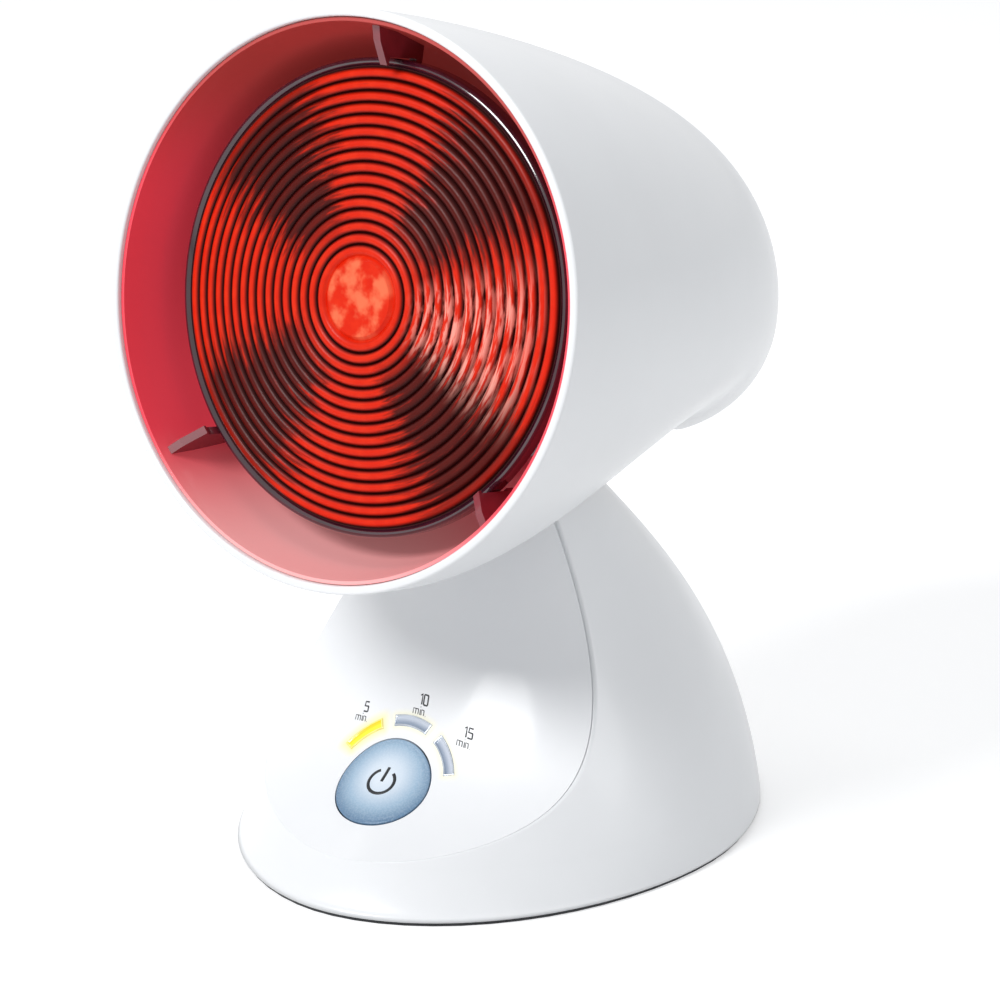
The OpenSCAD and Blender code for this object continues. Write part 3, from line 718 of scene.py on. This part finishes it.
for minutes, x, y in ((5, -16.4, 19.8), (10, 1.4, 24.9), (15, 17.7, 20.4)):
    digits = str(minutes)
    printed(f"number_{digits}", digits, x, y, 1.75, 2.6, 0.46)
    printed(f"minutes_{digits}", "min.", x - 0.4, y - 3.3, 1.12, 1.35, 0.27)


# Power button: a slightly domed, satin blue-grey disc that presses in, with a
# generic power sign let into it.
CROWN = 1.1
crown_r = (BUTTON_R ** 2 + CROWN ** 2) / (2 * CROWN)


def lathe(outline, steps, place, closed=False):
    """Spins an outline of (radius, height) points round a frame's Z axis; millimetres."""
    bm = bmesh.new()
    points = [bm.verts.new((r, 0, z)) for r, z in outline]
    pairs = list(zip(points, points[1:])) + ([(points[-1], points[0])] if closed else [])
    edges = [bm.edges.new(pair) for pair in pairs]
    bmesh.ops.spin(bm, geom=points + edges, axis=(0, 0, 1), angle=math.tau, steps=steps, use_merge=True)
    bmesh.ops.remove_doubles(bm, verts=bm.verts, dist=1e-4)
    bmesh.ops.recalc_face_normals(bm, faces=bm.faces)
    bmesh.ops.scale(bm, verts=bm.verts, vec=(MM, MM, MM))
    bmesh.ops.transform(bm, verts=bm.verts, matrix=place)
    return bm


def crown_height(radius):
    return 0.3 + CROWN - radius * radius / (2 * crown_r)


def follow(x, y):
    """How far the cap rises at (x, y) so that its edge stays level with the hollow panel round it."""
    radius = max(0.01, math.hypot(x, y))
    edge = PANEL.inverted() @ (on_panel(x * BUTTON_R / radius, y * BUTTON_R / radius) * MM)
    return edge.z / MM * (radius / BUTTON_R) ** 2


# Painted shade and highlight: the cap is painted pale just above its middle and darker towards its edge, as
# light falls on the dome; the pale specks are dust.
def button_colour(wire):
    x, y = across_and_up(wire, PANEL)
    high = y - 1.5 * MM
    radius = (x * x + high * high) ** 0.5
    painted_dome_shade = wire.node("ShaderNodeValToRGB", {0: radius / (15 * MM)}, stops=[
        (0.0, (0.76, 0.82, 0.88)), (0.35, (0.62, 0.71, 0.81)), (0.66, (0.32, 0.46, 0.60)),
        (0.95, (0.09, 0.19, 0.32)),
    ])
    dust = grain(wire, place_of(wire), 2200, 2.0).step(0.42, 0.62) * 0.10
    return dust.between(painted_dome_shade, (0.8, 0.86, 0.92))


button_blue = finish(
    "button_plastic", button_colour, worn(0.34, 0.42), fine_grain(2400), 0.02,
    Coat_Weight=0.3, Coat_Roughness=0.2,
)
edge_r = 0.45
edge_top = crown_height(12.9) - edge_r
line_z = crown_height(12.3) - 0.07
skirt_z = -4
outline = [(r, crown_height(r)) for r in (0, 2, 4, 6, 8, 10, 11.4, 12.3)]
outline += [(12.45, line_z), (12.7, line_z), (12.85, crown_height(12.6))]
for turn in (0, 18, 36, 54, 72, 90):
    a = math.radians(turn)
    outline.append((BUTTON_R - edge_r + edge_r * math.sin(a), edge_top + edge_r * math.cos(a)))
outline += [(BUTTON_R, skirt_z), (BUTTON_R - 2, skirt_z), (BUTTON_R - 2, -2), (0, -2)]
bm = lathe(outline, 144, Matrix.Scale(1 / MM, 4))
for vert in bm.verts:
    vert.co.z += follow(vert.co.x, vert.co.y) if vert.co.z > skirt_z + 0.1 else 0
bmesh.ops.transform(bm, verts=bm.verts, matrix=PANEL @ Matrix.Scale(MM, 4))
add_piece("button_cap", bm, [button_blue], "button", ["power_button"])

symbol_r = 3.8
stroke_w = 0.9
bar_length = 4.7
symbol_ink = finish("symbol_ink", speckled((0.008, 0.010, 0.014), 0.2), 0.5)
arc_gap = math.radians(33)
arc_steps = 72


def on_cap(x, y):
    z = crown_height(math.hypot(x, y)) + follow(x, y) + 0.03
    return PANEL @ (Vector((x, y, z)) * MM) / MM


def ring_arc(u, v):
    angle = math.pi / 2 + arc_gap + u * (math.tau - 2 * arc_gap)
    radius = symbol_r + (v / 2 - 0.5) * stroke_w
    return on_cap(radius * math.cos(angle), radius * math.sin(angle))


def upright_bar(u, v):
    return on_cap((v / 2 - 0.5) * stroke_w, bar_length * u)


bm = curved_grid(arc_steps, 2, ring_arc)
other = curved_grid(12, 2, upright_bar)
spare = bpy.data.meshes.new("bar")
other.to_mesh(spare)
other.free()
bm.from_mesh(spare)
bpy.data.meshes.remove(spare)
face_away(bm, PANEL @ Vector((0, 0, -0.05)))
symbol = add_piece("power_sign", bm, [symbol_ink], "button", ["power_symbol"])
inlay = symbol.modifiers.new("inlay", "SOLIDIFY")
inlay.thickness = 0.3 * MM
inlay.offset = -1
settle(symbol)


# Head shell: a white moulding, round in front and drawn in below towards the neck,
# with a slot in its underside that the neck passes through.
TILT = math.radians(12)
PIVOT = Vector((0, 5, 110))
PIVOT_BACK = 90
PIVOT_DROP = 35.3
rim_y = -PIVOT_BACK * math.cos(TILT) + PIVOT_DROP * math.sin(TILT)
rim_z = PIVOT_BACK * math.sin(TILT) + PIVOT_DROP * math.cos(TILT)
RIM = PIVOT + Vector((0, rim_y, rim_z))
HEAD = Matrix.Translation(RIM * MM) @ Matrix.Rotation(math.pi / 2 - TILT, 4, "X")
HEAD_R = 73.7
HEAD_L = 157
HEAD_WALL = 2.3
HIGH_POWER = 1.52
HIGH_ROOT = 3.93
DIP = 0.51
SLOT_W = 50
SLOT_TOP = 21
SLOT_FRONT = 64
SLOT_ROUND = 14
SLOT_H = 80
SLOT_L = 140


def soft_step(a, b, x):
    u = min(1, max(0, (x - a) / (b - a)))
    return u * u * (3 - 2 * u)


def high_share(x):
    return max(0, 1 - x ** HIGH_POWER) ** (1 / HIGH_ROOT)


def low_share(x):
    dip = 1 - DIP * soft_step(0.07, 0.75, x) + 0.2 * soft_step(0.7, 0.95, x)
    return dip * math.sqrt(max(0, 1 - x ** 8))


head_steps = 110
turns = [math.pi / 2 * (1 - (1 - i / head_steps) ** 1.5) for i in range(head_steps + 1)]
stations = [math.sin(turn) ** (2 / HIGH_POWER) for turn in turns]
lip = 0.7
arc = [math.radians(a) for a in (0, 22.5, 45, 67.5, 90)]
outline = [(HEAD_R * high_share(x), -HEAD_L * x) for x in reversed(stations) if HEAD_L * x > lip]
outline += [(HEAD_R - lip + lip * math.cos(a), -lip + lip * math.sin(a)) for a in arc]
inner_r = HEAD_R - HEAD_WALL
inner_l = HEAD_L - HEAD_WALL
outline += [(inner_r + lip - lip * math.sin(a), -lip + lip * math.cos(a)) for a in arc]
outline += [(inner_r * high_share(x), -inner_l * x) for x in stations if inner_l * x > lip]
bm = lathe(outline, 192, Matrix.Identity(4))


def low_factor(radius, depth):
    """How much a point of the round head's lower half is drawn in, or pushed out."""
    mid_wall = (HEAD_R - HEAD_WALL / 2) * high_share(min(1, depth / HEAD_L))
    outer = radius > mid_wall or depth > HEAD_L - HEAD_WALL / 2
    x = min(1, max(0, depth / (HEAD_L if outer else inner_l)))
    full = (HEAD_R if outer else inner_r) * high_share(x)
    wall = 0 if outer else HEAD_WALL * (1 + 0.8 * soft_step(0, 0.4, x))
    return max(0.02, (HEAD_R - wall) * low_share(x) / full) if full > 0.01 else 1


for vert in bm.verts:
    if vert.co.y < 0:
        vert.co.y *= low_factor(math.hypot(vert.co.x, vert.co.y) / MM, -vert.co.z / MM)
bmesh.ops.transform(bm, verts=bm.verts, matrix=HEAD)
head_shell = add_piece("head_moulding", bm, [white_shell], "head", ["shade"])

bm = bmesh.new()
bmesh.ops.create_cube(bm, size=1)
bmesh.ops.scale(bm, verts=bm.verts, vec=(SLOT_W, SLOT_H, SLOT_L))
bmesh.ops.translate(bm, verts=bm.verts, vec=(0, -SLOT_TOP - SLOT_H / 2, -SLOT_FRONT - SLOT_L / 2))
front_edges = [
    edge for edge in bm.edges
    if all(vert.co.z > -SLOT_FRONT - 1 for vert in edge.verts)
    and abs(edge.verts[0].co.x - edge.verts[1].co.x) < 1
]
bmesh.ops.bevel(
    bm, geom=front_edges, offset=SLOT_ROUND, segments=12, profile=0.5, affect="EDGES", material=-1,
)
bmesh.ops.scale(bm, verts=bm.verts, vec=(MM, MM, MM))
bmesh.ops.transform(bm, verts=bm.verts, matrix=HEAD)
cutter = shaped("slot_shape", bm)
slot = head_shell.modifiers.new("slot", "BOOLEAN")
slot.object = cutter
slot.solver = "EXACT"
settle(head_shell)
head_shell.data.set_sharp_from_angle(angle=math.radians(35))
bpy.data.objects.remove(cutter)


# Liner: a spun aluminium cone inside the mouth, lacquered glossy red, that throws
# the warmth forward.
def liner_colour(wire):
    x, y = across_and_up(wire, HEAD)
    drift = grain(wire, place_of(wire), 12, 2.0) * 14 * MM
    # Painted reflection: the lower part is painted pale pink, standing in for the bright floor mirrored in
    # the glossy liner.
    low = 1 - (y + drift).step(-64 * MM, -34 * MM)
    # Painted shade: the top of the liner is painted a darker red.
    red_with_painted_top_shade = (y + drift).step(20 * MM, 66 * MM).between((0.80, 0.055, 0.085), (0.42, 0.045, 0.040))
    return (low * 0.85).between(red_with_painted_top_shade, (0.86, 0.46, 0.45))


# Painted light: the liner's emission stands in for the lit bulb's light falling on it; the liner is no
# lamp.
liner_red = finish(
    "liner_enamel", liner_colour, worn(0.28, 0.38, 30), fine_grain(500), 0.01,
    glow=True, Emission_Strength=0.22, Coat_Weight=0.3, Coat_Roughness=0.12,
)
liner_r = HEAD_R - HEAD_WALL - 0.25
liner_t = 0.9
liner_steps = ((0, 1.4), (1.6, 12), (4.6, 24), (13, 40), (24, 56))
liner_line = [(liner_r - inward, -depth) for inward, depth in liner_steps]


def smooth_line(points, count):
    """Points along a soft curve through the given ones."""
    curve = []
    for i in range(len(points) - 1):
        before = Vector(points[max(0, i - 1)])
        start = Vector(points[i])
        end = Vector(points[i + 1])
        after = Vector(points[min(len(points) - 1, i + 2)])
        for k in range(count):
            t = k / count
            curve.append(tuple(0.5 * (
                2 * start + (end - before) * t + (2 * before - 5 * start + 4 * end - after) * t * t
                + (3 * start - before - 3 * end + after) * t ** 3
            )))
    return curve + [tuple(points[-1])]


front_face = smooth_line([(r - liner_t, z) for r, z in liner_line], 6)
back_face = smooth_line(liner_line, 6)
bm = lathe(front_face + back_face[::-1], 192, HEAD, closed=True)
add_piece("liner_cone", bm, [liner_red], "head", ["reflector_liner"])
# Painted shade: the ribs are given a much darker red than the liner, as their sides lie in shade.
rib_painted_shade_red = finish("rib_enamel", speckled((0.22, 0.022, 0.035), 0.2, 200), 0.3, Coat_Weight=0.5)
dress(rib_painted_shade_red, "bulb_supports")


# Bulb: the front and body of a pressed-glass reflector bulb. The front is moulded
# with rings and lacquered red; the body is metallised inside and ends in a screw cap.
BULB = HEAD @ Matrix.Translation((0, 0.8 * MM, 0))
FLANGE_R = 61
BULB_S = 15.2
DOME = 5
DOME_R = 440
RING_FIRST = 10.8
RING_LAST = 58.6
RINGS = 16
ring_pitch = (RING_LAST - RING_FIRST) / RINGS


def lens_front(radius):
    """Height of the ringed front over the bulb's frame, with each ring a rounded ridge."""
    base = -BULB_S + DOME - radius * radius / (2 * DOME_R)
    if radius < RING_FIRST:
        return base - 0.25 + 0.35 * (radius / RING_FIRST) ** 2
    if radius > RING_LAST:
        return base - 0.9
    turn = ((radius - RING_FIRST) / ring_pitch) % 1
    return base - 1.0 + 1.0 * math.sin(math.pi * turn) ** 0.7


def lens_colour(wire):
    """Red rings with painted shade in their grooves, painted dark fans between them and painted pale
    streaks on one side, standing in for reflections in the ringed glass.
    """
    x, y = across_and_up(wire, BULB)
    radius = (x * x + y * y) ** 0.5
    angle = wire.sum("ARCTAN2", y, x)
    ring = (radius - RING_FIRST * MM) / (ring_pitch * MM)
    phase = wire.sum("FRACT", ring)
    # Painted shade: the grooves between the rings are painted dark.
    painted_groove_shade = (phase - 0.5).size().step(0.12, 0.46)
    painted_groove_shade = painted_groove_shade * radius.step(RING_FIRST * MM, (RING_FIRST + 2) * MM)
    streak = wire.node("ShaderNodeCombineXYZ", {0: ring * 0.8, 1: angle * 1.1, 2: 0.0})
    painted_streak_noise = grain(wire, streak, 4.0, 6.0)
    # Painted reflections: dark fans round the lens, broken up by streaky noise.
    fans = wire.sum("COSINE", (angle - 0.03) * 4)
    painted_dark_fans = (0.42 - fans * 0.8 + (painted_streak_noise - 0.5) * 2.4).step(0.0, 1.0)
    painted_dark_fans = painted_dark_fans * radius.step(14 * MM, 26 * MM) * (1 - radius.step(54 * MM, 60 * MM) * 0.6)
    # Painted highlight: right marks pale streaks on the lens's right side.
    right = (1 - (angle + 0.12).size().step(0.2, 0.55)) * radius.step(14 * MM, 24 * MM)
    right = right * (1 - radius.step(46 * MM, 58 * MM)) * painted_streak_noise.step(0.44, 0.60)
    flame = (0.66, 0.016, 0.002)
    mottle = grain(wire, place_of(wire), 260, 4.0).step(0.35, 0.75) * 0.5
    lit = mottle.between(flame, (0.78, 0.034, 0.006))
    with_painted_fans = (painted_dark_fans * 0.93).between(lit, (0.035, 0.002, 0.001))
    with_painted_grooves = (painted_groove_shade * (1 - right * 0.55)).between(with_painted_fans, (0.020, 0.0008, 0.0008))
    heart = grain(wire, place_of(wire), 190, 3.0).step(0.42, 0.66)
    heart = heart * (1 - radius.step(9 * MM, 11.5 * MM))
    mottled = (heart * 0.7).between(with_painted_grooves, (0.90, 0.22, 0.10))
    return (right * (1 - painted_groove_shade * 0.6) * 0.75).between(mottled, (0.95, 0.42, 0.34))


lens_red = finish(
    "bulb_front", lens_colour, worn(0.34, 0.44), glow=True, Emission_Strength=0.10, Specular_IOR_Level=0.12,
    Coat_Weight=0.05, Coat_Roughness=0.12,
)
flange_purple = finish(
    "bulb_flange", speckled((0.045, 0.005, 0.016), 0.4, 120), 0.12, Coat_Weight=0.8, Coat_Roughness=0.03,
)
lens_radii = [RING_FIRST * i / 10 for i in range(10)]
lens_radii += [RING_FIRST + ring_pitch * i / 10 for i in range(RINGS * 10 + 1)]
outline = [(r, lens_front(r)) for r in lens_radii]
outline += [(RING_LAST + 0.3, lens_front(RING_LAST)), (RING_LAST + 0.5, -BULB_S + 0.4)]
shoulder = 1.1
shoulder_r = FLANGE_R - shoulder
shoulder_z = -BULB_S + 1 - shoulder
outline += [(shoulder_r + shoulder * math.sin(a), shoulder_z + shoulder * math.cos(a)) for a in arc]
flange_back = -BULB_S - 1.4
outline += [(FLANGE_R, flange_back), (FLANGE_R - 6, flange_back), (0, -BULB_S + 1.6)]
bm = lathe(outline, 224, BULB)
back_to_bulb = BULB.inverted()
for face in bm.faces:
    spot = back_to_bulb @ face.calc_center_median() / MM
    in_flange = math.hypot(spot.x, spot.y) > RING_LAST + 0.35 or spot.z < -BULB_S - 1
    face.material_index = 1 if in_flange else 0
add_piece("bulb_front_glass", bm, [lens_red, flange_purple], "head", ["bulb_lens"])
dress(flange_purple, "bulb_reflector")


# Cap, holder and cradle: the bulb's brass cap screws into a ceramic holder, which a
# cradle of zinc-plated steel carries on the pivot.
brass = finish(
    "cap_brass", speckled((0.72, 0.52, 0.22), 0.25, 300), worn(0.22, 0.4, 200), fine_grain(900), 0.02,
    Metallic=1.0,
)
ceramic = finish(
    "holder_ceramic", speckled((0.80, 0.78, 0.72), 0.06, 60), worn(0.12, 0.25), fine_grain(300), 0.02,
    Coat_Weight=0.6,
)
vitrite = finish("dark_glass", speckled((0.02, 0.015, 0.035), 0.3), 0.1, Coat_Weight=0.5)
tungsten = finish("tungsten", speckled((0.25, 0.24, 0.23), 0.3, 800), 0.4, Metallic=1.0)
dress(brass, "bulb_cap", "cap_contact", "holder_thread", "holder_contact", "holder_terminals")
dress(brass, "pivot_bushes")
dress(vitrite, "cap_insulator")
dress(ceramic, "lamp_holder", "mains_terminal")
dress(tungsten, "filament", "filament_posts")
dress(zinc, "lamp_cradle", "holder_screws", "cradle_screws", "friction_washers")
